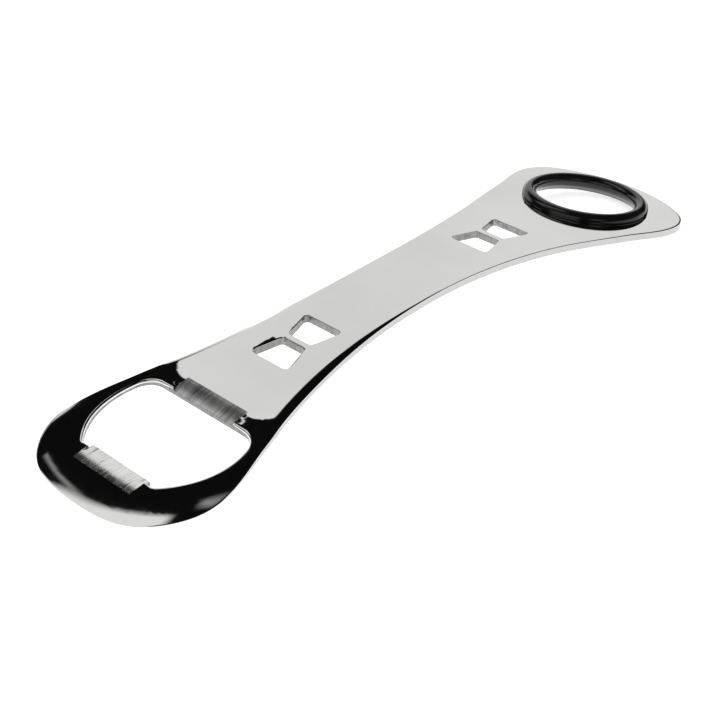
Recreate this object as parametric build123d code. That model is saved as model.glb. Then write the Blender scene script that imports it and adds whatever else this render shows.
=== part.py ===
from build123d import *
import os
from math import atan2, cos, radians, sin, sqrt

# Bar-blade bottle opener: one arched stainless blade and a rubber ring that turns in its finger hole.
# Millimetres. +X runs from the opener head to the ring end, +Y across the blade, +Z up.
# The origin is the middle of the footprint, on the table that the blade rests on.

# Blade: side view
overall_length = 180.0          # head tip to ring end
thickness = 1.8
head_slope = 6.7                # degrees, the straight head climbs towards the handle
seat_slope = 8.3                # degrees, the straight ring end falls towards its tip
bow_radius = 343.0              # top face of the arched handle
bow_start = 54.9                # head tip to the start of the arch

# Blade: plan view
head_width = 44.8
head_widest = 16.2              # head tip to the widest place of the head
tip_shoulder = (4.6, 16.8)      # from the tip, half width: fullness of the round tip
shoulder_station = (32.3, 18.5) # from the tip, half width beside the rear lip
neck_station = (41.3, 15.65)    # from the tip, half width behind the mouth
handle_station = (56.2, 12.4)   # from the tip, half width where the handle starts
waist_width = 19.6
waist_station = 89.0            # head tip to the waist
flare_station = (54.9, 13.2)    # from the ring end, half width where the flare starts
flare_shoulder = (31.0, 19.35)  # from the ring end, half width beside the ring
end_width = 46.4
end_radius = 32.0               # shallow arc of the ring end
corner_radius = 12.0            # its two corners

# Crown-cap mouth
mouth_front = 10.9              # head tip to the front edge of the mouth
mouth_length = 21.9
mouth_front_width = 20.6
mouth_rear_width = 30.0
mouth_width = 33.8
mouth_widest = 25.0             # head tip to its widest place
mouth_front_round = 1.8
mouth_rear_round = 4.5

# Prying lips: shallow ramps ground into the top face
lip_drop = 0.75                 # depth of both ramps at the mouth
rear_lip_width = 17.6
rear_lip_length = 4.1
front_lip_width = 16.8
front_lip_length = 5.0
front_lip_reach = 1.2           # how far the front lip stands into the mouth
lip_root = 1.0                  # steel behind the mouth's front edge that carries the front lip

# Windows: two pairs of trapeziums, each pair an hourglass
window_length = 7.3
window_wide = 10.8
window_narrow = 6.6
window_round = 0.9
window_bar = 1.7                # steel left between the two windows of a pair
window_pitch = 63.2             # middle of one pair to the middle of the other
window_shift = 0.6              # middle of both pairs, towards the ring end

# Finger ring
ring_bore = 24.5                # free diameter for the finger
ring_station = 20.2             # ring end to the middle of the ring
bead_diameter = 3.5             # round bead of the ring
bead_height = 0.33              # middle of the bead above the top face
bore_land = 1.4                 # straight band inside the bore
foot_drop = 0.5                 # lower lip below the underside
foot_reach = 0.8                # how far the lower lip stands out under the blade
bore_lean = 0.4                 # the bore flares out to this far inside the hole at the lower lip
bore_turn = 0.6                 # where the round bore turns into that flare
wall_bite = 1.0                 # how far the edge of the hole enters the bead
turn_clearance = 0.05           # radial running clearance of the ring in its hole
face_clearance = 0.06           # between the ring and each face of the blade

half_length = overall_length / 2
tip_x = -half_length
end_x = half_length
head_run = radians(head_slope)
seat_run = radians(seat_slope)

# Arch: its centre, and where the straight head and the straight ring end touch it
arch_x = tip_x + bow_start + bow_radius * sin(head_run)
seat_start_x = arch_x + bow_radius * sin(seat_run)
head_start_x = tip_x + bow_start
tip_rise = (head_start_x - tip_x) * sin(head_run) / cos(head_run)
tip_drop = bow_radius * cos(head_run) - tip_rise
end_drop = bow_radius * cos(seat_run) - (end_x - seat_start_x) * sin(seat_run) / cos(seat_run)
lowest = min(tip_drop - thickness / cos(head_run), end_drop - thickness / cos(seat_run))
arch_z = -lowest                # height of the arch centre when the blade rests on its two ends


def on_arch(radius, angle):
    """Point of the side view on a circle about the arch centre, angle from +Z towards +X."""
    return (arch_x + radius * sin(angle), arch_z + radius * cos(angle))


def run_out(radius, angle, reach):
    """Point where the straight stretch that touches the arch at this angle comes to x = reach."""
    x, z = on_arch(radius, angle)
    return (reach, z - (reach - x) * sin(angle) / cos(angle))


def top_height(x):
    """Height of the top face over the table at a place along the blade."""
    if x < head_start_x:
        return run_out(bow_radius, -head_run, x)[1]
    if x > seat_start_x:
        return run_out(bow_radius, seat_run, x)[1]
    return arch_z + sqrt(bow_radius**2 - (x - arch_x)**2)


# Local planes on the straight stretches: X along the blade, Z out of the top face
head_plane = Plane(
    origin=(head_start_x, 0, top_height(head_start_x)),
    x_dir=(cos(head_run), 0, sin(head_run)), z_dir=(-sin(head_run), 0, cos(head_run)))
ring_x = end_x - ring_station
seat_plane = Plane(
    origin=(ring_x, 0, top_height(ring_x)),
    x_dir=(cos(seat_run), 0, -sin(seat_run)), z_dir=(sin(seat_run), 0, cos(seat_run)))


def plan_cut(face, height=60.0):
    """Upright prism on a plan outline, tall enough to pass the whole arched blade."""
    return extrude(face, amount=height, both=True)


def side_band():
    """The bent sheet before its outline is cut, as wide as any outline."""
    inner = bow_radius - thickness
    margin = 5.0
    ring_limit = end_x + margin
    head_limit = tip_x - margin
    top = [run_out(bow_radius, -head_run, head_limit), on_arch(bow_radius, -head_run),
           on_arch(bow_radius, (seat_run - head_run) / 2), on_arch(bow_radius, seat_run),
           run_out(bow_radius, seat_run, ring_limit)]
    low = [run_out(inner, -head_run, head_limit), on_arch(inner, -head_run),
           on_arch(inner, (seat_run - head_run) / 2), on_arch(inner, seat_run),
           run_out(inner, seat_run, ring_limit)]
    with BuildSketch(Plane.XZ) as band:
        with BuildLine():
            Line(top[0], top[1])
            ThreePointArc(top[1], top[2], top[3])
            Line(top[3], top[4])
            Line(top[4], low[4])
            Line(low[4], low[3])
            ThreePointArc(low[3], low[2], low[1])
            Line(low[1], low[0])
            Line(low[0], top[0])
        make_face()
    return extrude(band.sketch, amount=max(head_width, end_width), both=True)


def outline():
    """Plan outline: round head, waist, flared ring end with a shallow end arc and two corners."""
    corner_y = end_width / 2 - corner_radius
    end_centre = end_x - end_radius
    corner_x = end_centre + sqrt((end_radius - corner_radius)**2 - corner_y**2)
    meet = atan2(corner_y, corner_x - end_centre)
    half = (radians(90) + meet) / 2
    corner_start = (corner_x, end_width / 2)
    corner_mid = (corner_x + corner_radius * cos(half), corner_y + corner_radius * sin(half))
    corner_end = (end_centre + end_radius * cos(meet), end_radius * sin(meet))
    with BuildSketch() as plan:
        with BuildLine():
            Spline(
                (tip_x, 0),
                (tip_x + tip_shoulder[0], tip_shoulder[1]),
                (tip_x + head_widest, head_width / 2),
                tangents=[(0, 1), (1, 0)])
            Spline(
                (tip_x + head_widest, head_width / 2),
                (tip_x + shoulder_station[0], shoulder_station[1]),
                (tip_x + neck_station[0], neck_station[1]),
                (tip_x + handle_station[0], handle_station[1]),
                (tip_x + waist_station, waist_width / 2),
                tangents=[(1, 0), (1, 0)])
            Spline(
                (tip_x + waist_station, waist_width / 2),
                (end_x - flare_station[0], flare_station[1]),
                (end_x - flare_shoulder[0], flare_shoulder[1]),
                corner_start,
                tangents=[(1, 0), (1, 0)])
            ThreePointArc(corner_start, corner_mid, corner_end)
            ThreePointArc(corner_end, (end_x, 0), (corner_end[0], -corner_end[1]))
            mirror(about=Plane.XZ)
        make_face()
    return plan.sketch


def mouth():
    """Plan of the crown-cap mouth: straight front and rear edges, bulged sides."""
    front = tip_x + mouth_front
    rear = front + mouth_length
    widest = (tip_x + mouth_widest, mouth_width / 2)
    front_corner = (front, mouth_front_width / 2)
    rear_corner = (rear, mouth_rear_width / 2)
    with BuildSketch() as plan:
        with BuildLine():
            ThreePointArc(front_corner, widest, rear_corner)
            Line(rear_corner, (rear, -mouth_rear_width / 2))
            ThreePointArc((rear, -mouth_rear_width / 2), (widest[0], -widest[1]), (front, -front_corner[1]))
            Line((front, -front_corner[1]), front_corner)
        make_face()
        corners = plan.vertices().sort_by(Axis.X)
        fillet(corners[:2], mouth_front_round)
        fillet(plan.vertices().sort_by(Axis.X)[-2:], mouth_rear_round)
    return plan.sketch


def front_tongue():
    """Steel kept inside the mouth under the front lip."""
    front = tip_x + mouth_front
    with BuildSketch() as plan:
        with Locations((front + (front_lip_reach - lip_root) / 2, 0)):
            Rectangle(front_lip_reach + lip_root, front_lip_width)
    return plan.sketch


def ramp(flush_x, deep_x, width):
    """Wedge over one lip: flush with the top face at flush_x, lip_drop deep at deep_x and beyond."""
    flush = (flush_x - head_start_x) / cos(head_run)
    deep = (deep_x - head_start_x) / cos(head_run)
    beyond = deep + (deep - flush)
    side = Plane(origin=head_plane.origin, x_dir=head_plane.x_dir, z_dir=(0, -1, 0))
    with BuildSketch(side) as wedge:
        Polygon((flush, 0), (deep, -lip_drop), (beyond, -2 * lip_drop), (beyond, 5), (flush, 5), align=None)
    return extrude(wedge.sketch, amount=width / 2, both=True)


def window(middle, narrow_side):
    """One trapezium window; narrow_side is +1 when its short edge faces +X."""
    long_x = middle - narrow_side * window_length / 2
    short_x = middle + narrow_side * window_length / 2
    with BuildSketch() as plan:
        Polygon(
            (long_x, -window_wide / 2), (short_x, -window_narrow / 2),
            (short_x, window_narrow / 2), (long_x, window_wide / 2), align=None)
        fillet(plan.vertices(), window_round)
    return plan.sketch


bead_radius = bead_diameter / 2
bead_middle = ring_bore / 2 + bead_radius
hole_radius = bead_middle + bead_radius - wall_bite


def steel_blade():
    blade = side_band() & plan_cut(outline())
    rear = tip_x + mouth_front + mouth_length
    blade -= plan_cut(mouth()) - plan_cut(front_tongue())
    blade -= ramp(rear + rear_lip_length, rear, rear_lip_width)
    tongue = tip_x + mouth_front + front_lip_reach
    blade -= ramp(tongue - front_lip_length, tongue, front_lip_width)
    for pair in (-1, 1):
        middle = window_shift + pair * window_pitch / 2
        for side in (-1, 1):
            centre = middle + side * (window_bar + window_length) / 2
            blade -= plan_cut(window(centre, -side))
    blade -= seat_plane * Cylinder(hole_radius, 4 * thickness)
    return blade


def finger_ring():
    """Section turned about the ring axis: round bead, straight bore land, neck and lower lip."""
    inner = ring_bore / 2
    neck = hole_radius - turn_clearance
    under = -thickness - face_clearance
    foot = under - foot_drop
    land_top = bead_height + bore_land / 2
    land_low = bead_height - bore_land / 2
    bead_low = bead_height - bead_radius
    rim = bead_middle + sqrt(bead_radius**2 - (bead_height - face_clearance)**2)
    with BuildSketch(Plane.XZ) as section:
        with BuildLine():
            Line((inner, land_low), (inner, land_top))
            ThreePointArc((inner, land_top), (bead_middle, bead_height + bead_radius), (rim, face_clearance))
            Line((rim, face_clearance), (neck, face_clearance))
            Line((neck, face_clearance), (neck, under))
            Line((neck, under), (neck + foot_reach, under))
            Line((neck + foot_reach, under), (neck + foot_reach - foot_drop, foot))
            Line((neck + foot_reach - foot_drop, foot), (neck - bore_lean, foot))
            Line((neck - bore_lean, foot), (inner + bore_turn, bead_low))
            ThreePointArc((inner + bore_turn, bead_low), (inner + bore_turn / 3, bead_low + bore_turn),
                          (inner, land_low))
        make_face()
    return seat_plane * revolve(section.sketch, axis=Axis.Z)


os.makedirs("parts", exist_ok=True)
parts = {"steel_blade": steel_blade(), "finger_ring": finger_ring()}
for name, shape in parts.items():
    export_step(shape, f"parts/{name}.step")
    box = shape.bounding_box()
    print(name, "solids", len(shape.solids()), "volume", round(shape.volume, 2), "box", box.min, box.max)
bore_middle = seat_plane.from_local_coords((0, 0, bead_height))
print("bore middle", bore_middle, "axis", seat_plane.z_dir, "bore radius", ring_bore / 2)
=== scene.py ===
"""Arched bar-blade bottle opener with a rubber finger ring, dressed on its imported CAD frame."""

import logging
from dataclasses import dataclass, field
from enum import Enum
from math import atan2, cos, hypot, pi, radians, sin, sqrt, tan
from typing import Callable, Sequence

import bmesh
import bpy
from mathutils import Euler, Matrix, Vector
from mathutils.bvhtree import BVHTree
from mathutils.geometry import interpolate_bezier


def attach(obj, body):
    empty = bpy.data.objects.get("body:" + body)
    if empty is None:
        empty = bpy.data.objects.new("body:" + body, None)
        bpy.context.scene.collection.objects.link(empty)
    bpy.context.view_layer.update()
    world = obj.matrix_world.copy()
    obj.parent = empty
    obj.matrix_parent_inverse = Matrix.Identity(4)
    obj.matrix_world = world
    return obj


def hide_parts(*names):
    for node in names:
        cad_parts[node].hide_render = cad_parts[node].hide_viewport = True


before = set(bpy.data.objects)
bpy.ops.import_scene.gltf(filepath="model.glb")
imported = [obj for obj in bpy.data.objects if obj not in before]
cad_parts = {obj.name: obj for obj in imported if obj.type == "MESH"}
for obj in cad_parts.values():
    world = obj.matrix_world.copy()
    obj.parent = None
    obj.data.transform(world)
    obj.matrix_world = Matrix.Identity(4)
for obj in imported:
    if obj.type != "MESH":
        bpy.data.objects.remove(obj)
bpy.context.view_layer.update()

log = logging.getLogger("opener")

MM = 0.001
SAME_PLACE = 1e-4
Point = tuple[float, float]
Colour = tuple[float, float, float]


def smooth_step(low: float, high: float, value: float) -> float:
    """Smooth ramp from 0 at low to 1 at high; low may be the larger of the two."""
    share = min(max((value - low) / (high - low), 0.0), 1.0)
    return share * share * (3 - 2 * share)


class Slot(Enum):
    """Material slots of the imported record."""

    STEEL = "polished_steel"
    RUBBER = "black_rubber"


class Zone(Enum):
    """Material places on the blade."""

    POLISHED = 0
    REAR_LIP = 1
    FRONT_LIP = 2
    OUTER_WALL = 3
    INNER_WALL = 4


# ---------------------------------------------------------------- plan outlines


@dataclass
class PlanPath:
    """A closed plan outline that is drawn stretch by stretch, in millimetres.

    Attributes:
        pitch: Longest step along a curved stretch.
        fullness: How far a curve's handles reach, as a share of a third of its chord.
        points: The outline so far.
    """

    pitch: float = 0.6
    fullness: float = 1.04
    points: list[Point] = field(default_factory=list)

    def go(self, x: float, y: float) -> None:
        """Adds a corner, joined to the last point by a straight run."""
        if not self.points or hypot(self.points[-1][0] - x, self.points[-1][1] - y) > SAME_PLACE:
            self.points.append((x, y))

    def arc(self, centre: Point, radius: float, start: float, end: float) -> None:
        """Adds a round stretch.

        Args:
            centre: Centre of the circle.
            radius: Its radius.
            start: First angle from +X, in radians.
            end: Last angle, in radians; the turn goes straight from start to end.
        """
        steps = max(3, round(abs(end - start) * radius / self.pitch))
        for step in range(steps + 1):
            angle = start + (end - start) * step / steps
            self.go(centre[0] + radius * cos(angle), centre[1] + radius * sin(angle))

    def curve(self, knots: Sequence[Point], first: Point, last: Point) -> None:
        """Adds a smooth stretch through a few knots.

        Args:
            knots: The places it passes.
            first: Direction at the first knot.
            last: Direction at the last knot.
        """
        spots = [Vector(knot) for knot in knots]
        turns = [Vector(first).normalized()]
        for before, here, after in zip(spots, spots[1:], spots[2:]):
            gap_in = (here - before).length
            gap_out = (after - here).length
            blend = (here - before) / gap_in * gap_out + (after - here) / gap_out * gap_in
            turns.append(blend.normalized())
        turns.append(Vector(last).normalized())
        for here, there, leave, arrive in zip(spots, spots[1:], turns, turns[1:]):
            reach = (there - here).length / 3 * self.fullness
            steps = max(4, round((there - here).length / self.pitch))
            bend = interpolate_bezier(here, here + leave * reach, there - arrive * reach, there, steps + 1)
            for spot in bend:
                self.go(spot.x, spot.y)

    def mirrored(self) -> list[Point]:
        """The drawn half and its mirror image across the middle of the blade, as one closed outline."""
        other = [(x, -y) for x, y in reversed(self.points) if abs(y) > SAME_PLACE]
        return self.points + other


def circle_through(a: Point, b: Point, c: Point) -> tuple[Point, float]:
    """Centre and radius of the circle through three places."""
    ax, ay, bx, by = a[0] - c[0], a[1] - c[1], b[0] - c[0], b[1] - c[1]
    double = 2 * (ax * by - ay * bx)
    ux = (by * (ax * ax + ay * ay) - ay * (bx * bx + by * by)) / double
    uy = (ax * (bx * bx + by * by) - bx * (ax * ax + ay * ay)) / double
    return (c[0] + ux, c[1] + uy), hypot(ux, uy)


def offset(points: Sequence[Point], distance: float, inward: bool) -> list[Point]:
    """Moves a closed outline sideways by the same distance all along.

    Args:
        points: The outline.
        distance: How far it moves.
        inward: Whether it shrinks; otherwise it grows.

    Returns:
        The moved outline, with as many points.
    """
    pairs = list(zip(points, points[1:] + points[:1]))
    area = sum(a[0] * b[1] - b[0] * a[1] for a, b in pairs)
    side = distance if (area > 0) == inward else -distance
    moved = []
    for before, here, after in zip(points[-1:] + points[:-1], points, points[1:] + points[:1]):
        first = Vector((before[1] - here[1], here[0] - before[0])).normalized()
        second = Vector((here[1] - after[1], after[0] - here[0])).normalized()
        shift = (first + second) * (side / (1 + first.dot(second)))
        moved.append((here[0] + shift.x, here[1] + shift.y))
    return moved


# ---------------------------------------------------------------- shader groups


class NodeTree:
    """Small helper that adds, sets and links shader nodes in one tree."""

    def __init__(self, tree: bpy.types.NodeTree) -> None:
        """Keeps the tree it writes to."""
        self.tree = tree

    def add(self, kind: str, **settings: object) -> bpy.types.Node:
        """Adds a node and sets its properties."""
        node = self.tree.nodes.new(kind)
        for name, value in settings.items():
            setattr(node, name, value)
        return node

    def join(self, source: bpy.types.NodeSocket, target: bpy.types.NodeSocket) -> None:
        """Links an output to an input."""
        self.tree.links.new(source, target)

    def math(self, operation: str, first: object, second: object = 0.0,
             clamp: bool = False) -> bpy.types.NodeSocket:
        """Adds a Math node.

        Args:
            operation: Blender's name of the operation.
            first: A socket or a number.
            second: A socket or a number.
            clamp: Whether the result stays between 0 and 1.

        Returns:
            The node's output.
        """
        node = self.add("ShaderNodeMath", operation=operation, use_clamp=clamp)
        for index, value in enumerate((first, second)):
            if isinstance(value, (int, float)):
                node.inputs[index].default_value = value
            else:
                self.join(value, node.inputs[index])
        return node.outputs[0]

    def ramp(self, factor: bpy.types.NodeSocket,
             stops: Sequence[tuple[float, Sequence[float]]]) -> bpy.types.NodeSocket:
        """Adds a colour ramp.

        Args:
            factor: What drives it.
            stops: Place and colour of each stop.

        Returns:
            The colour output.
        """
        node = self.add("ShaderNodeValToRGB")
        while len(node.color_ramp.elements) < len(stops):
            node.color_ramp.elements.new(0.5)
        for element, (place, colour) in zip(node.color_ramp.elements, stops):
            element.position = place
            element.color = (*colour, 1.0)
        self.join(factor, node.inputs["Fac"])
        return node.outputs["Color"]

    def noise(self, place: bpy.types.NodeSocket, scale: float, detail: float) -> bpy.types.NodeSocket:
        """Adds noise at a place and gives its value."""
        node = self.add("ShaderNodeTexNoise")
        node.inputs["Scale"].default_value = scale
        node.inputs["Detail"].default_value = detail
        self.join(place, node.inputs["Vector"])
        return node.outputs["Fac"]

    def bump(self, height: bpy.types.NodeSocket, strength: float, shader: bpy.types.Node) -> None:
        """Roughens a shader's surface by a height, a tenth of a millimetre deep at full strength."""
        node = self.add("ShaderNodeBump")
        node.inputs["Strength"].default_value = strength
        node.inputs["Distance"].default_value = 0.0001
        self.join(height, node.inputs["Height"])
        self.join(node.outputs["Normal"], shader.inputs["Normal"])


def make_grain_group() -> bpy.types.ShaderNodeTree:
    """Fine parallel scratches along the blade, as a mask and a height.

    Returns:
        A group with inputs Scale, Stretch and Seed, and outputs Mask and Height.
    """
    group = bpy.data.node_groups.new("directional_grain", "ShaderNodeTree")
    faces = group.interface
    for name, value in (("Scale", 900.0), ("Stretch", 30.0), ("Seed", 0.0)):
        faces.new_socket(name, in_out="INPUT", socket_type="NodeSocketFloat").default_value = value
    faces.new_socket("Mask", in_out="OUTPUT", socket_type="NodeSocketFloat")
    faces.new_socket("Height", in_out="OUTPUT", socket_type="NodeSocketFloat")
    net = NodeTree(group)
    given = net.add("NodeGroupInput")
    place = net.add("ShaderNodeTexCoord")
    parts = net.add("ShaderNodeSeparateXYZ")
    net.join(place.outputs["Object"], parts.inputs[0])
    along = net.math("DIVIDE", parts.outputs["X"], given.outputs["Stretch"])
    across = net.add("ShaderNodeCombineXYZ")
    net.join(along, across.inputs["X"])
    net.join(parts.outputs["Y"], across.inputs["Y"])
    upright = net.math("MULTIPLY", parts.outputs["Z"], 0.25)
    net.join(net.math("ADD", upright, given.outputs["Seed"]), across.inputs["Z"])
    noise = net.add("ShaderNodeTexNoise", noise_dimensions="3D")
    noise.inputs["Detail"].default_value = 4.0
    noise.inputs["Roughness"].default_value = 0.62
    net.join(across.outputs[0], noise.inputs["Vector"])
    net.join(given.outputs["Scale"], noise.inputs["Scale"])
    spread = net.add("ShaderNodeMapRange")
    spread.inputs["From Min"].default_value = 0.3
    spread.inputs["From Max"].default_value = 0.7
    net.join(noise.outputs["Fac"], spread.inputs["Value"])
    out = net.add("NodeGroupOutput")
    net.join(spread.outputs["Result"], out.inputs["Mask"])
    net.join(noise.outputs["Fac"], out.inputs["Height"])
    return group


def make_softbox_group() -> bpy.types.ShaderNodeTree:
    """A feathered rectangle of light on the sky.

    Returns:
        A group with a Direction, the box's Centre, Right and Up vectors, its half Width and Height as
        tangents, and Feather, and one output, Light.
    """
    group = bpy.data.node_groups.new("softbox", "ShaderNodeTree")
    faces = group.interface
    for name in ("Direction", "Centre", "Right", "Up"):
        faces.new_socket(name, in_out="INPUT", socket_type="NodeSocketVector")
    for name, value in (("Width", 0.3), ("Height", 0.3), ("Feather", 0.05)):
        faces.new_socket(name, in_out="INPUT", socket_type="NodeSocketFloat").default_value = value
    faces.new_socket("Light", in_out="OUTPUT", socket_type="NodeSocketFloat")
    net = NodeTree(group)
    given = net.add("NodeGroupInput")

    def dot(name: str) -> bpy.types.NodeSocket:
        """Dot product of the direction with one of the box's vectors."""
        node = net.add("ShaderNodeVectorMath", operation="DOT_PRODUCT")
        net.join(given.outputs["Direction"], node.inputs[0])
        net.join(given.outputs[name], node.inputs[1])
        return node.outputs["Value"]

    ahead = net.math("MAXIMUM", dot("Centre"), 0.001)

    def inside(name: str, limit: str) -> bpy.types.NodeSocket:
        """How far within one pair of edges the direction lies, 0 to 1."""
        off = net.math("ABSOLUTE", net.math("DIVIDE", dot(name), ahead))
        room = net.math("SUBTRACT", given.outputs[limit], off)
        share = net.math("DIVIDE", room, given.outputs["Feather"], clamp=True)
        return net.math("SMOOTH_MIN", share, 1.0)

    lit = net.math("MULTIPLY", inside("Right", "Width"), inside("Up", "Height"))
    facing = net.math("GREATER_THAN", dot("Centre"), 0.01)
    out = net.add("NodeGroupOutput")
    net.join(net.math("MULTIPLY", lit, facing), out.inputs["Light"])
    return group


# ---------------------------------------------------------------- finishes


def start_material(name: str, metallic: float) -> tuple[bpy.types.Material, NodeTree, bpy.types.Node]:
    """Makes a material and gives it, its node tree and its surface shader."""
    material = bpy.data.materials.new(name)
    material.use_nodes = True
    surface = material.node_tree.nodes["Principled BSDF"]
    surface.inputs["Metallic"].default_value = metallic
    return material, NodeTree(material.node_tree), surface


@dataclass(frozen=True)
class PolishedSteel:
    """Mirror-polished stainless steel with faint polishing lines along the blade."""

    grain: bpy.types.ShaderNodeTree
    name: str = "polished_stainless"
    tint: Colour = (0.80, 0.80, 0.79)
    shade: float = 0.93
    roughness: float = 0.035
    haze: float = 0.035
    scratch: float = 0.006

    def build(self) -> bpy.types.Material:
        """Makes the material."""
        material, net, steel = start_material(self.name, metallic=1.0)
        lines = net.add("ShaderNodeGroup", node_tree=self.grain)
        lines.inputs["Scale"].default_value = 1600.0
        lines.inputs["Stretch"].default_value = 40.0
        place = net.add("ShaderNodeTexCoord")
        cloud = net.noise(place.outputs["Object"], scale=38.0, detail=3.0)
        dim = tuple(part * self.shade for part in self.tint)
        net.join(net.ramp(cloud, ((0.35, dim), (0.65, self.tint))), steel.inputs["Base Color"])
        rough = net.math("MULTIPLY", lines.outputs["Mask"], self.haze)
        net.join(net.math("ADD", rough, self.roughness), steel.inputs["Roughness"])
        net.bump(lines.outputs["Height"], self.scratch, steel)
        return material


@dataclass(frozen=True)
class GroundSteel:
    """Bare steel left by the grinding wheel on the two lips, with coarse streaks along the blade."""

    grain: bpy.types.ShaderNodeTree
    name: str = "ground_lip_steel"
    light: Colour = (0.78, 0.78, 0.77)
    dark: Colour = (0.22, 0.22, 0.22)
    dark_end: float = 0.15
    light_end: float = 0.75
    roughness: float = 0.26
    cut: float = 0.35

    def build(self) -> bpy.types.Material:
        """Makes the material."""
        material, net, steel = start_material(self.name, metallic=1.0)
        fine = net.add("ShaderNodeGroup", node_tree=self.grain)
        fine.inputs["Scale"].default_value = 1500.0
        fine.inputs["Stretch"].default_value = 14.0
        broad = net.add("ShaderNodeGroup", node_tree=self.grain)
        broad.inputs["Scale"].default_value = 420.0
        broad.inputs["Stretch"].default_value = 5.0
        broad.inputs["Seed"].default_value = 0.7
        mixed = net.math("ADD", net.math("MULTIPLY", fine.outputs["Mask"], 0.5),
                         net.math("MULTIPLY", broad.outputs["Mask"], 0.5))
        tone = net.ramp(mixed, ((self.dark_end, self.dark), (self.light_end, self.light)))
        net.join(tone, steel.inputs["Base Color"])
        net.join(net.math("ADD", net.math("MULTIPLY", fine.outputs["Mask"], 0.14), self.roughness),
                 steel.inputs["Roughness"])
        net.bump(mixed, self.cut, steel)
        return material


@dataclass(frozen=True)
class ShearedSteel:
    """The stamped and tumbled side walls: bright, with a slight upright grain; its darker copy on the walls
    of the openings is painted shade.
    """

    name: str = "sheared_wall_steel"
    tint: Colour = (0.58, 0.58, 0.58)
    shade: float = 0.95
    roughness: float = 0.16
    relief: float = 0.1

    def build(self) -> bpy.types.Material:
        """Makes the material."""
        material, net, steel = start_material(self.name, metallic=1.0)
        place = net.add("ShaderNodeTexCoord")
        squeeze = net.add("ShaderNodeMapping")
        squeeze.inputs["Scale"].default_value = (900.0, 900.0, 120.0)
        net.join(place.outputs["Object"], squeeze.inputs["Vector"])
        noise = net.noise(squeeze.outputs["Vector"], scale=1.0, detail=3.0)
        dim = tuple(part * self.shade for part in self.tint)
        net.join(net.ramp(noise, ((0.3, dim), (0.7, self.tint))), steel.inputs["Base Color"])
        net.join(net.math("ADD", net.math("MULTIPLY", noise, 0.1), self.roughness),
                 steel.inputs["Roughness"])
        net.bump(noise, self.relief, steel)
        return material


@dataclass(frozen=True)
class BlackRubber:
    """Glossy moulded black rubber with a faint skin texture."""

    name: str = "glossy_black_rubber"
    black: Colour = (0.006, 0.006, 0.007)
    worn: Colour = (0.014, 0.014, 0.015)
    roughness: float = 0.15
    relief: float = 0.06

    def build(self) -> bpy.types.Material:
        """Makes the material."""
        material, net, rubber = start_material(self.name, metallic=0.0)
        rubber.inputs["IOR"].default_value = 1.5
        place = net.add("ShaderNodeTexCoord")
        skin = net.noise(place.outputs["Object"], scale=700.0, detail=4.0)
        dust = net.noise(place.outputs["Object"], scale=120.0, detail=2.0)
        net.join(net.ramp(dust, ((0.4, self.black), (0.7, self.worn))), rubber.inputs["Base Color"])
        net.join(net.math("ADD", net.math("MULTIPLY", dust, 0.12), self.roughness - 0.06),
                 rubber.inputs["Roughness"])
        net.bump(skin, self.relief, rubber)
        return material


# ---------------------------------------------------------------- pieces


def add_piece(name: str, bm: bmesh.types.BMesh, materials: Sequence[bpy.types.Material],
              sharp: float) -> bpy.types.Object:
    """Turns a bmesh into a piece at the origin.

    Args:
        name: The piece's name.
        bm: Its shape in metres; it is freed here.
        materials: Its materials in slot order.
        sharp: Angle in degrees past which an edge stays sharp.

    Returns:
        The new object.
    """
    for face in bm.faces:
        face.smooth = True
    for edge in bm.edges:
        zones = {face.material_index for face in edge.link_faces}
        edge.smooth = len(zones) == 1 and edge.calc_face_angle(0.0) < radians(sharp)
    mesh = bpy.data.meshes.new(name)
    bm.to_mesh(mesh)
    bm.free()
    for material in materials:
        mesh.materials.append(material)
    piece = bpy.data.objects.new(name, mesh)
    bpy.context.scene.collection.objects.link(piece)
    return piece


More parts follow.
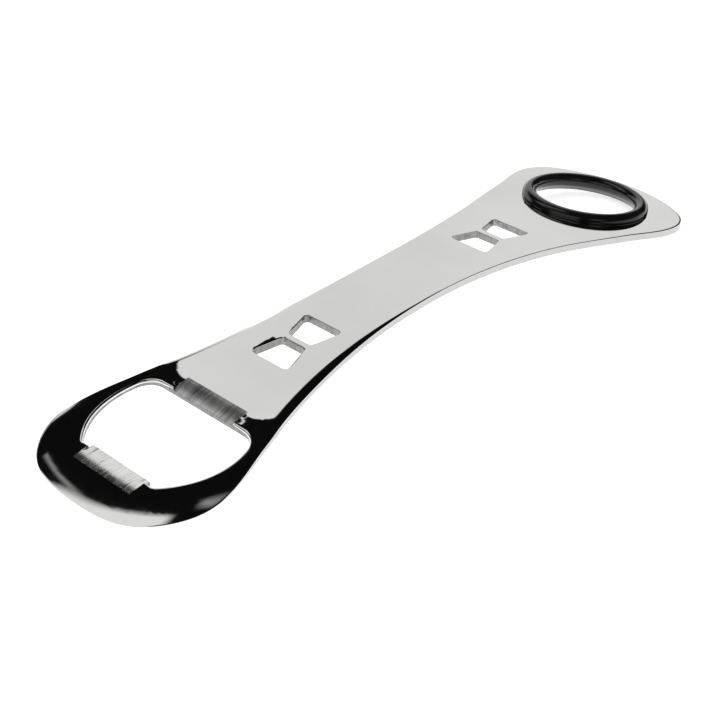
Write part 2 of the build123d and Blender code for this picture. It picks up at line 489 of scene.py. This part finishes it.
@dataclass
class Blade:
    """The stamped, arched and polished steel blade. Sizes are millimetres, as in the CAD part."""

    length: float = 180.0
    thickness: float = 1.8
    head_slope: float = 6.7
    seat_slope: float = 8.3
    bow_radius: float = 343.0
    bow_start: float = 54.9
    head_width: float = 44.8
    head_widest: float = 16.2
    waist_width: float = 19.6
    waist_station: float = 89.0
    end_width: float = 46.4
    end_radius: float = 32.0
    corner_radius: float = 12.0
    mouth_front: float = 10.9
    mouth_length: float = 21.9
    mouth_front_width: float = 20.6
    mouth_rear_width: float = 30.0
    mouth_width: float = 33.8
    mouth_widest: float = 25.0
    mouth_front_round: float = 1.8
    mouth_rear_round: float = 4.5
    lip_drop: float = 0.75
    rear_lip_width: float = 17.6
    rear_lip_length: float = 4.1
    front_lip_width: float = 16.8
    front_lip_length: float = 5.0
    front_lip_reach: float = 1.2
    window_length: float = 7.3
    window_wide: float = 10.8
    window_narrow: float = 6.6
    window_round: float = 0.9
    window_bar: float = 1.7
    window_pitch: float = 63.2
    window_shift: float = 0.6
    ring_station: float = 20.2
    hole_radius: float = 14.95
    tip_shoulder: Point = (4.6, 16.8)
    head_shoulder: Point = (32.3, 18.5)
    neck: Point = (41.3, 15.65)
    handle: Point = (56.2, 12.4)
    flare: Point = (54.9, 13.2)
    flare_shoulder: Point = (31.0, 19.35)
    scoop: float = 2.2
    crown_start: float = 36.2
    crown_rim: float = 1.5
    crown_fall: float = 0.16
    crown_settle: float = 3.0
    handle_rim: float = 0.55
    mouth_crisp: float = 0.12
    mouth_soft: float = 0.36
    thinnest: float = 0.1
    lip_edge: float = 0.02
    lip_step: float = 0.06
    grid_change: float = -40.0
    edge_round: float = 0.14
    edge_bands: tuple[float, ...] = (0.0, 0.03, 0.07, 0.14)
    crown_bands: tuple[float, ...] = (0.3, 0.55, 0.9, 1.3, 1.8, 2.3)
    mouth_bands: tuple[float, ...] = (0.3, 0.5, 0.8)
    loops: dict[str, list[Point]] = field(default_factory=dict)
    near: dict[str, BVHTree] = field(default_factory=dict)

    def __post_init__(self) -> None:
        """Works out the side view from the driving sizes."""
        self.tip = -self.length / 2
        self.end = self.length / 2
        self.head_run = radians(self.head_slope)
        self.seat_run = radians(self.seat_slope)
        self.arch_x = self.tip + self.bow_start + self.bow_radius * sin(self.head_run)
        self.head_x = self.tip + self.bow_start
        self.seat_x = self.arch_x + self.bow_radius * sin(self.seat_run)
        tip_fall = self.bow_start * tan(self.head_run)
        end_fall = (self.end - self.seat_x) * tan(self.seat_run)
        tip_low = self.bow_radius * cos(self.head_run) - tip_fall - self.thickness / cos(self.head_run)
        end_low = self.bow_radius * cos(self.seat_run) - end_fall - self.thickness / cos(self.seat_run)
        self.arch_z = -min(tip_low, end_low)
        self.front = self.tip + self.mouth_front
        self.rear = self.front + self.mouth_length
        self.tongue = self.front + self.front_lip_reach

    # ---- heights

    def sheet_height(self, x: float, radius: float) -> float:
        """Height of one face of the bent sheet at a place along the blade."""
        for side, run, start in ((-1, self.head_run, self.head_x), (1, self.seat_run, self.seat_x)):
            touch_x = self.arch_x + side * radius * sin(run)
            if (x - touch_x) * side > 0:
                return self.arch_z + radius * cos(run) - abs(x - touch_x) * tan(run)
        return self.arch_z + sqrt(radius * radius - (x - self.arch_x) ** 2)

    def rim_width(self, x: float) -> float:
        """How far in from the outline the polished round-over reaches."""
        handle = 0.25 + 1.95 * smooth_step(6.0, -44.0, x)
        return handle + 8.5 * smooth_step(-51.0, -57.0, x)

    def rim_drop(self, x: float) -> float:
        """How much lower the outline is than the flat top face."""
        handle = 0.1 + 0.45 * smooth_step(6.0, -44.0, x)
        return handle + (self.crown_rim - self.handle_rim) * smooth_step(-54.0, -79.0, x)

    def crown(self, x: float, y: float) -> float:
        """Depth of the head's soft crown and of the rim under the flat top face."""
        spot = Vector((x, y, 0.0))
        gap = self.near["outline"].find_nearest(spot)[3]
        width = self.rim_width(x)
        share = max(0.0, 1 - gap / width)
        depth = self.rim_drop(x) * share * share
        crease = max(0.0, (self.tip + self.crown_start) - x)
        return depth + self.crown_fall * (1 - 1 / (1 + crease / self.crown_settle))

    def mouth_round(self, x: float, y: float) -> float:
        """Rounded upper edge of the mouth's sides; the two lips stay crisp."""
        gap = self.near["mouth"].find_nearest(Vector((x, y, 0.0)))[3]
        radius = self.mouth_crisp + self.mouth_soft * smooth_step(9.0, 11.0, abs(y))
        return radius - sqrt(radius**2 - (radius - gap) ** 2) if gap < radius else 0.0

    def edge_ease(self, x: float, y: float, radius: float) -> float:
        """Small rounding of every stamped edge."""
        gap = self.near["any"].find_nearest(Vector((x, y, 0.0)))[3]
        return radius - sqrt(radius**2 - (radius - gap) ** 2) if gap < radius else 0.0

    def lip(self, x: float, y: float) -> float:
        """Depth of the ground ramps over the two lips."""
        side = abs(y) - self.lip_edge
        level = self.rear + self.rear_lip_length
        if side < self.rear_lip_width / 2 and self.rear - 0.2 < x < level:
            return self.lip_drop * ((level - x) / self.rear_lip_length) ** self.scoop
        flush = self.tongue - self.front_lip_length
        if side < self.front_lip_width / 2 and flush < x < self.tongue + 0.2:
            return self.lip_drop * (x - flush) / self.front_lip_length
        return 0.0

    def top(self, x: float, y: float) -> float:
        """Height of the finished top face."""
        flat = self.sheet_height(x, self.bow_radius)
        crowned = self.crown(x, y) + self.edge_ease(x, y, self.edge_round)
        sides = self.mouth_round(x, y) if self.front - 3 < x < self.rear + 3 else 0.0
        return flat - max(crowned + sides, self.lip(x, y) + self.edge_ease(x, y, self.edge_round))

    def underside(self, x: float, y: float) -> float:
        """Height of the finished underside."""
        inner = self.bow_radius - self.thickness
        return self.sheet_height(x, inner) + self.edge_ease(x, y, self.edge_round)

    # ---- plan outlines

    def from_tip(self, station: Point) -> Point:
        """A place given by its distance from the head's tip and its half width."""
        return self.tip + station[0], station[1]

    def from_end(self, station: Point) -> Point:
        """A place given by its distance from the ring end and its half width."""
        return self.end - station[0], station[1]

    def outline(self) -> list[Point]:
        """Round head, waist and flared ring end."""
        half = PlanPath()
        widest = (self.tip + self.head_widest, self.head_width / 2)
        waist = (self.tip + self.waist_station, self.waist_width / 2)
        half.curve([(self.tip, 0), self.from_tip(self.tip_shoulder), widest], (0, 1), (1, 0))
        half.curve([widest, self.from_tip(self.head_shoulder), self.from_tip(self.neck),
                    self.from_tip(self.handle), waist], (1, 0), (1, 0))
        corner_y = self.end_width / 2 - self.corner_radius
        centre = self.end - self.end_radius
        corner_x = centre + sqrt((self.end_radius - self.corner_radius) ** 2 - corner_y**2)
        meet = atan2(corner_y, corner_x - centre)
        half.curve([waist, self.from_end(self.flare), self.from_end(self.flare_shoulder),
                    (corner_x, self.end_width / 2)], (1, 0), (1, 0))
        half.arc((corner_x, corner_y), self.corner_radius, pi / 2, meet)
        half.arc((centre, 0), self.end_radius, meet, 0)
        return half.mirrored()

    def mouth(self) -> list[Point]:
        """Straight rear edge, bulged sides, and a front edge with the lip standing into the opening."""
        front_corner = (self.front, self.mouth_front_width / 2)
        side = (self.tip + self.mouth_widest, self.mouth_width / 2)
        centre, radius = circle_through(front_corner, side, (self.rear, self.mouth_rear_width / 2))
        half = PlanPath(pitch=0.45)
        half.go(self.rear, 0)
        half.go(self.rear, self.rear_lip_width / 2)
        ends = []
        for x, turn in ((self.rear - self.mouth_rear_round, self.mouth_rear_round),
                        (self.front + self.mouth_front_round, self.mouth_front_round)):
            y = centre[1] + sqrt((radius - turn) ** 2 - (x - centre[0]) ** 2)
            ends.append(((x, y), turn, atan2(y - centre[1], x - centre[0])))
        half.arc(ends[0][0], ends[0][1], 0, ends[0][2])
        half.arc(centre, radius, ends[0][2], ends[1][2])
        half.arc(ends[1][0], ends[1][1], ends[1][2], pi)
        half.go(self.front, self.front_lip_width / 2)
        half.go(self.tongue, self.front_lip_width / 2)
        half.go(self.tongue, 0)
        return half.mirrored()

    def window(self, middle: float, narrow_side: int) -> list[Point]:
        """One trapezium window with round corners; narrow_side is +1 when its short edge faces +X."""
        wide_x = middle - narrow_side * self.window_length / 2
        narrow_x = middle + narrow_side * self.window_length / 2
        lean = atan2((self.window_wide - self.window_narrow) / 2, self.window_length)
        turn = self.window_round
        path = PlanPath(pitch=0.2)
        wide_y = self.window_wide / 2 - turn / tan((pi / 2 - lean) / 2)
        narrow_y = self.window_narrow / 2 - turn / tan((pi / 2 + lean) / 2)
        up = pi / 2
        if narrow_side > 0:
            path.arc((wide_x + turn, wide_y), turn, pi, up - lean)
            path.arc((narrow_x - turn, narrow_y), turn, up - lean, 0)
        else:
            path.arc((narrow_x + turn, narrow_y), turn, pi, up + lean)
            path.arc((wide_x - turn, wide_y), turn, up + lean, 0)
        return path.mirrored()

    def hole(self) -> list[Point]:
        """Round hole of the finger ring."""
        path = PlanPath(pitch=0.7)
        middle = self.end - self.ring_station - self.thickness * tan(self.seat_run) / 2
        path.arc((middle, 0), self.hole_radius, 0, pi)
        return path.mirrored()

    def draw_loops(self) -> None:
        """Draws every outline and keeps search trees for the outline, the mouth and all edges together."""
        self.loops = {"outline": self.outline(), "mouth": self.mouth(), "hole": self.hole()}
        for pair in (-1, 1):
            for side in (-1, 1):
                middle = self.window_shift + pair * self.window_pitch / 2
                middle += side * (self.window_bar + self.window_length) / 2
                self.loops[f"window_{pair}_{side}"] = self.window(middle, -side)
        self.near = {name: self.wall_tree([self.loops[name]]) for name in ("outline", "mouth")}
        self.near["any"] = self.wall_tree(list(self.loops.values()))

    @staticmethod
    def wall_tree(loops: Sequence[Sequence[Point]]) -> BVHTree:
        """Search tree of upright walls on these outlines, for distances in plan."""
        walls = bmesh.new()
        edges = [edge for points in loops for edge in Blade.ring_of_edges(walls, points)]
        risen = bmesh.ops.extrude_edge_only(walls, edges=edges)["geom"]
        lifted = [part for part in risen if isinstance(part, bmesh.types.BMVert)]
        bmesh.ops.translate(walls, vec=(0, 0, 2), verts=lifted)
        bmesh.ops.translate(walls, vec=(0, 0, -1), verts=list(walls.verts))
        tree = BVHTree.FromBMesh(walls)
        walls.free()
        return tree

    # ---- mesh

    def blank(self) -> bmesh.types.BMesh:
        """Flat blank with its openings, banded along the edges and cut into a fine grid, in millimetres."""
        bm = bmesh.new()
        seed = bm.edges.layers.int.new("seed")
        inside = bm.faces.layers.int.new("inside")
        inner = []
        for name, points in self.loops.items():
            moved = [offset(points, reach, name == "outline") for reach in self.bands(name)]
            rows = [self.ring_of_edges(bm, row) for row in moved]
            for row, following in zip(rows, rows[1:]):
                bmesh.ops.bridge_loops(bm, edges=row + following)
            inner.extend(rows[-1])
        banded = set(bm.faces)
        bmesh.ops.triangle_fill(bm, use_beauty=True, use_dissolve=False, edges=inner, normal=(0, 0, 1))
        filled = [face for face in bm.faces if face not in banded]
        rim = set(inner)
        for face in filled:
            face[inside] = 1
        for edge in {edge for face in filled for edge in face.edges}:
            edge[seed] = 0 if edge in rim else 1
        self.cut_grid(bm, inside)
        spare = [edge for edge in bm.edges if edge[seed] == 1 and len(edge.link_faces) == 2]
        bmesh.ops.dissolve_edges(bm, edges=spare, use_verts=True)
        return bm

    def bands(self, name: str) -> tuple[float, ...]:
        """Distances from an outline to its bands: close at every edge, and wide where the top is crowned."""
        if name == "outline":
            return self.edge_bands + self.crown_bands
        if name == "mouth":
            return self.edge_bands + self.mouth_bands
        return self.edge_bands

    @staticmethod
    def ring_of_edges(bm: bmesh.types.BMesh, points: Sequence[Point]) -> list[bmesh.types.BMEdge]:
        """Adds a closed ring of edges through these places."""
        verts = [bm.verts.new((x, y, 0)) for x, y in points]
        return [bm.edges.new((a, b)) for a, b in zip(verts, verts[1:] + verts[:1])]

    def cut_grid(self, bm: bmesh.types.BMesh, inside: bmesh.types.BMLayerItem) -> None:
        """Cuts the blank crosswise and lengthwise, closely in the head and more widely along the handle.

        Args:
            bm: The blank.
            inside: Face layer that is 1 inside the bands; only the lips' own lines cut the bands too.
        """
        def cut(axis: int, at: float, keep: Callable[[bmesh.types.BMFace, Vector], bool]) -> None:
            """Cuts the faces that pass the test along one plane."""
            place = Vector((0, 0, 0))
            normal = Vector((0, 0, 0))
            place[axis] = at
            normal[axis] = 1
            faces = []
            for face in bm.faces:
                reach = [vert.co[axis] for vert in face.verts]
                crossed = min(reach) < at - SAME_PLACE and max(reach) > at + SAME_PLACE
                if crossed and keep(face, face.calc_center_median()):
                    faces.append(face)
            edges = [edge for face in faces for edge in face.edges]
            verts = [vert for face in faces for vert in face.verts]
            parts = dict.fromkeys([*faces, *edges, *verts])
            bmesh.ops.bisect_plane(bm, geom=list(parts), dist=SAME_PLACE, plane_co=place, plane_no=normal)

        for half in (self.rear_lip_width / 2, self.front_lip_width / 2):
            for y in (-half - self.lip_step, -half, half, half + self.lip_step):
                cut(1, y, lambda face, spot: -85.0 < spot.x < self.rear + 6)
        lip_levels = (self.rear + self.rear_lip_length, self.tongue - self.front_lip_length)
        for x in (*lip_levels, self.tip + self.crown_start):
            cut(0, x, lambda face, spot: True)
        x = self.tip + 1.0
        while x < self.end:
            cut(0, x, lambda face, spot: face[inside] == 1)
            x += 1.0 if x < self.grid_change else 2.0
        for step in range(-22, 23):
            cut(1, step * 1.0 + 0.31, lambda face, spot: face[inside] == 1 and spot.x < self.grid_change)
            if step % 2 == 0:
                cut(1, step * 1.0, lambda face, spot: face[inside] == 1 and spot.x >= self.grid_change)

    def build(self, materials: Sequence[bpy.types.Material]) -> bpy.types.Object:
        """Makes the finished blade.

        Args:
            materials: The five steels, in the order of Zone.

        Returns:
            The blade's object.
        """
        self.draw_loops()
        bm = self.blank()
        low = bmesh.ops.extrude_face_region(bm, geom=list(bm.faces), use_keep_orig=True)["geom"]
        under = {g for g in low if isinstance(g, bmesh.types.BMVert)}
        tops = [v for v in bm.verts if v not in under]
        lower_faces = {g for g in low if isinstance(g, bmesh.types.BMFace)}
        for face in bm.faces:
            middle = face.calc_center_median()
            zone = Zone.POLISHED
            if any(v in under for v in face.verts) and face not in lower_faces:
                outer = self.near["outline"].find_nearest(Vector((middle.x, middle.y, 0)))[3] < 0.05
                zone = Zone.OUTER_WALL if outer else Zone.INNER_WALL
            elif face not in lower_faces and self.lip(middle.x, middle.y) > 0:
                zone = Zone.REAR_LIP if middle.x > (self.front + self.rear) / 2 else Zone.FRONT_LIP
            face.material_index = zone.value
        for vert in under:
            vert.co.z = self.underside(vert.co.x, vert.co.y)
        for vert in tops:
            floor = self.underside(vert.co.x, vert.co.y) + self.thinnest
            vert.co.z = max(self.top(vert.co.x, vert.co.y), floor)
        bmesh.ops.recalc_face_normals(bm, faces=list(bm.faces))
        bmesh.ops.scale(bm, vec=(MM, MM, MM), verts=list(bm.verts))
        open_edges = sum(1 for edge in bm.edges if len(edge.link_faces) != 2)
        log.info("blade: %d faces, %d open edges", len(bm.faces), open_edges)
        piece = add_piece("blade_stainless", bm, materials, sharp=28.0)
        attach(piece, "blade")
        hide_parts("steel_blade")
        return piece


@dataclass
class FingerRing:
    """The rubber ring in the finger hole. Sizes are millimetres, as in the CAD part."""

    bore: float = 24.5
    bead: float = 3.5
    bead_height: float = 0.33
    thickness: float = 1.8
    wall_bite: float = 1.0
    turn_clearance: float = 0.05
    face_clearance: float = 0.06
    foot_drop: float = 0.5
    foot_reach: float = 0.8
    steps: int = 160

    def section(self, bm: bmesh.types.BMesh) -> list[bmesh.types.BMEdge]:
        """Draws the section as a closed loop in the XZ plane, in millimetres from the top face."""
        radius = self.bead / 2
        middle = self.bore / 2 + radius
        neck = middle + radius - self.wall_bite - self.turn_clearance
        below = self.face_clearance - self.bead_height
        rest = atan2(below, sqrt(radius**2 - below**2))
        turned = pi + radians(62)
        steps = 30
        spots = []
        for step in range(steps + 1):
            angle = rest + (turned - rest) * step / steps
            spots.append((middle + radius * cos(angle), self.bead_height + radius * sin(angle)))
        under = -self.thickness - self.face_clearance
        foot = under - self.foot_drop
        brim = neck + self.foot_reach
        spots += [(neck - 0.4, foot), (neck + 0.1, foot - 0.02), (brim - 0.15, foot + 0.12),
                  (brim, foot + 0.3), (brim - 0.03, under), (neck, under), (neck, self.face_clearance)]
        verts = [bm.verts.new((x, 0, z)) for x, z in spots]
        return [bm.edges.new((a, b)) for a, b in zip(verts, verts[1:] + verts[:1])]

    def build(self, material: bpy.types.Material, seat: Matrix) -> bpy.types.Object:
        """Makes the ring.

        Args:
            material: Its rubber.
            seat: Place of the ring on the blade's top face, in metres.

        Returns:
            The ring's object.
        """
        bm = bmesh.new()
        edges = self.section(bm)
        geom = [*dict.fromkeys(v for e in edges for v in e.verts), *edges]
        bmesh.ops.spin(bm, geom=geom, cent=(0, 0, 0), axis=(0, 0, 1), angle=2 * pi, steps=self.steps,
                       use_merge=True, use_duplicate=False)
        bmesh.ops.remove_doubles(bm, verts=list(bm.verts), dist=1e-4)
        bmesh.ops.recalc_face_normals(bm, faces=list(bm.faces))
        bmesh.ops.scale(bm, vec=(MM, MM, MM), verts=list(bm.verts))
        bmesh.ops.transform(bm, matrix=seat, verts=list(bm.verts))
        log.info("ring: %d faces", len(bm.faces))
        piece = add_piece("ring_rubber", bm, [material], sharp=50.0)
        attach(piece, "ring")
        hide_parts("finger_ring")
        return piece


# ---------------------------------------------------------------- studio


@dataclass(frozen=True)
class SoftBox:
    """A feathered panel of light, placed by its direction from the object, in degrees."""

    azimuth: float
    elevation: float
    width: float
    height: float
    strength: float
    feather: float = 0.04
    roll: float = 0.0

    def axes(self) -> tuple[Vector, Vector, Vector]:
        """The panel's centre, right and up directions."""
        turn = radians(self.azimuth)
        rise = radians(self.elevation)
        centre = Vector((cos(turn) * cos(rise), sin(turn) * cos(rise), sin(rise)))
        right = Vector((sin(turn), -cos(turn), 0))
        right.rotate(Matrix.Rotation(radians(self.roll), 3, centre))
        return centre, right, right.cross(centre)


@dataclass
class Studio:
    """Pale floor, soft light and the camera."""

    lens: float = 75.48
    azimuth: float = 42.955
    elevation: float = 32.956
    roll: float = -0.823
    distance: float = 0.313836
    aim: tuple[float, float, float] = (-0.022817, -0.010389, 0.005)
    surround: float = 0.004
    boxes: tuple[SoftBox, ...] = (
        SoftBox(azimuth=42, elevation=22, width=16.7, height=26.6, strength=0.97, feather=0.03),
        SoftBox(azimuth=114.5, elevation=52, width=14.5, height=25, strength=1.05, feather=0.06),
        SoftBox(azimuth=88, elevation=41, width=1.5, height=9, strength=0.4, feather=0.035, roll=-23),
        SoftBox(azimuth=80, elevation=3, width=24, height=16, strength=0.95, feather=0.03),
        SoftBox(azimuth=43, elevation=69, width=4, height=4, strength=0.35, feather=0.06),
        SoftBox(azimuth=180, elevation=26, width=30, height=20, strength=0.8, feather=0.2),
        SoftBox(azimuth=300, elevation=6, width=50, height=10, strength=0.8, feather=0.1),
        SoftBox(azimuth=245, elevation=32, width=16, height=16, strength=0.7, feather=0.2),
    )

    def light_world(self) -> None:
        """Lights the object with soft panels on a dark surround; the camera itself sees a pale backdrop."""
        world = bpy.data.worlds.new("studio")
        bpy.context.scene.world = world
        world.use_nodes = True
        net = NodeTree(world.node_tree)
        shade = world.node_tree.nodes["Background"]
        shade.inputs["Color"].default_value = (1.0, 1.0, 1.0, 1.0)
        group = make_softbox_group()
        look = net.add("ShaderNodeTexCoord")
        total: object = self.surround
        for box in self.boxes:
            centre, right, up = box.axes()
            panel = net.add("ShaderNodeGroup", node_tree=group)
            net.join(look.outputs["Generated"], panel.inputs["Direction"])
            panel.inputs["Centre"].default_value = centre
            panel.inputs["Right"].default_value = right
            panel.inputs["Up"].default_value = up
            panel.inputs["Width"].default_value = tan(radians(box.width))
            panel.inputs["Height"].default_value = tan(radians(box.height))
            panel.inputs["Feather"].default_value = box.feather
            total = net.math("ADD", net.math("MULTIPLY", panel.outputs["Light"], box.strength), total)
        seen = net.add("ShaderNodeLightPath")
        backdrop = net.math("MULTIPLY", seen.outputs["Is Camera Ray"], 1.1)
        hidden = net.math("MULTIPLY", total, net.math("SUBTRACT", 1.0, seen.outputs["Is Camera Ray"]))
        net.join(net.math("ADD", backdrop, hidden), shade.inputs["Strength"])

    def add_lamps(self) -> None:
        """Adds the soft overhead light of the floor; polished faces don't mirror it."""
        lamps = (("overhead", (0.1, 0.1, 1.6), 1.6, 9.0), ("fill", (-0.8, -0.9, 1.0), 0.9, 2.0))
        for name, place, size, power in lamps:
            data = bpy.data.lights.new(name, "AREA")
            data.size = size
            data.energy = power
            lamp = bpy.data.objects.new(name, data)
            lamp.location = place
            lamp.rotation_euler = (-Vector(place)).to_track_quat("-Z", "Y").to_euler()
            lamp.visible_glossy = False
            bpy.context.scene.collection.objects.link(lamp)

    def add_floor(self) -> None:
        """Lays a pale floor under the object, bright enough to leave only a faint shadow."""
        bm = bmesh.new()
        bmesh.ops.create_grid(bm, x_segments=1, y_segments=1, size=4.0)
        mesh = bpy.data.meshes.new("floor")
        bm.to_mesh(mesh)
        bm.free()
        paper = bpy.data.materials.new("pale_floor")
        paper.use_nodes = True
        sheet = paper.node_tree.nodes["Principled BSDF"]
        sheet.inputs["Base Color"].default_value = (0.9, 0.9, 0.9, 1.0)
        sheet.inputs["Roughness"].default_value = 0.9
        sheet.inputs["Specular IOR Level"].default_value = 0.0
        sheet.inputs["Emission Color"].default_value = (1.0, 1.0, 1.0, 1.0)
        sheet.inputs["Emission Strength"].default_value = 0.7
        mesh.materials.append(paper)
        floor = bpy.data.objects.new("floor", mesh)
        bpy.context.scene.collection.objects.link(floor)

    def add_camera(self) -> None:
        """Places the camera at the main viewing angle."""
        turn = radians(self.azimuth)
        rise = radians(self.elevation)
        back = Vector((-cos(turn) * cos(rise), -sin(turn) * cos(rise), sin(rise)))
        data = bpy.data.cameras.new("main")
        data.lens = self.lens
        data.sensor_width = 36.0
        data.clip_start = 0.01
        camera = bpy.data.objects.new("main", data)
        level = back.to_track_quat("Z", "Y").to_matrix().to_4x4()
        pose = level @ Matrix.Rotation(radians(-self.roll), 4, "Z")
        pose.translation = Vector(self.aim) + back * self.distance
        camera.matrix_world = pose
        bpy.context.scene.collection.objects.link(camera)
        bpy.context.scene.camera = camera

    def build(self) -> None:
        """Sets up the whole studio."""
        bpy.context.scene.view_settings.view_transform = "Standard"
        self.light_world()
        self.add_lamps()
        self.add_floor()
        self.add_camera()


def main() -> None:
    """Builds the object and its studio."""
    logging.basicConfig(level=logging.INFO, format="%(name)s: %(message)s")
    grain = make_grain_group()
    steel = [
        PolishedSteel(grain).build(),
        GroundSteel(grain, name="rear_lip_steel").build(),
        GroundSteel(grain, name="front_lip_steel", dark=(0.30, 0.30, 0.30), light=(0.93, 0.93, 0.92),
                    dark_end=0.22, light_end=0.42, roughness=0.16).build(),
        ShearedSteel().build(),
        # Walls of the mouth, windows and ring hole: the same sheared steel darkened, painted shade in the
        # openings.
        ShearedSteel(name="inner_wall_steel_painted_shade", tint=(0.34, 0.34, 0.34), shade=0.6, roughness=0.24).build(),
    ]
    blade = Blade()
    log.info("made %s", blade.build(steel).name)
    ring_x = blade.end - blade.ring_station
    place = Vector((ring_x, 0, blade.sheet_height(ring_x, blade.bow_radius))) * MM
    seat = Matrix.Translation(place) @ Euler((0, blade.seat_run, 0)).to_matrix().to_4x4()
    log.info("made %s", FingerRing().build(BlackRubber().build(), seat).name)
    Studio().build()


if __name__ == "__main__":
    main()
